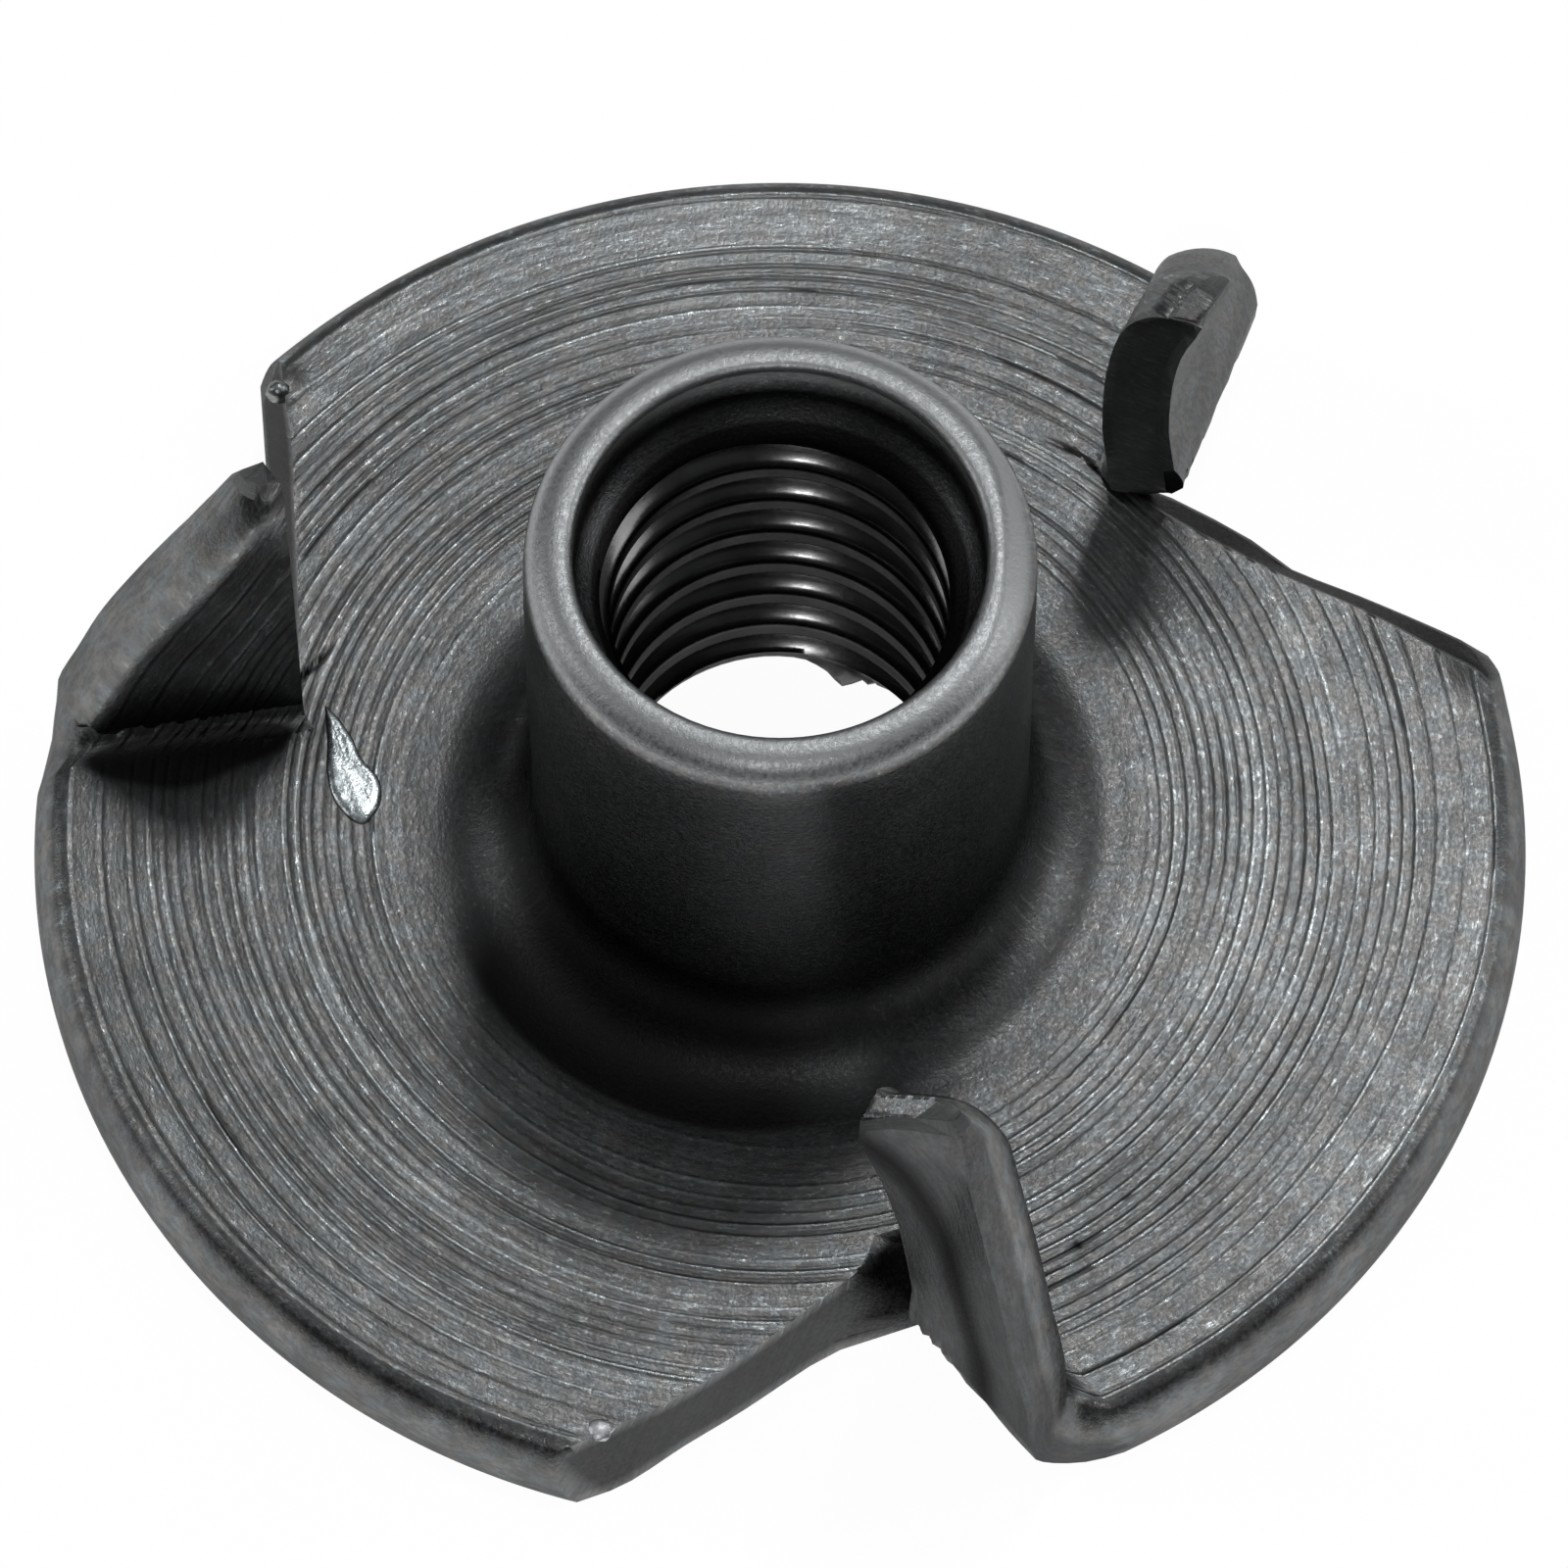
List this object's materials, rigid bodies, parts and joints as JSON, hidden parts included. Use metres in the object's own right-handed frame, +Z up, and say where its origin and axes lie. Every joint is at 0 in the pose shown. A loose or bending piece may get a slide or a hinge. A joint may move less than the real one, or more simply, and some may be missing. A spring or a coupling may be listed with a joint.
{
  "type": "tee nut",
  "caption": "Tee nut: a drawn barrel with an internal thread on a round flange, whose edge is sheared and bent up into pointed prongs that grip wood.",
  "frame": {"origin": "on the bore axis, at the level of the flange's flat underside", "axes": "+Z up the barrel, from the flange to the lip that the screw enters; +Y away from the viewer of the picture, +X to the viewer's right"},
  "size_m": [0.023, 0.0226, 0.0095],
  "materials": {
    "steel": "bare drawn steel, darkened, with fine turning rings over the flange"
  },
  "bodies": {
    "root": {"tee_nut": "steel"}
  },
  "joints": []
}
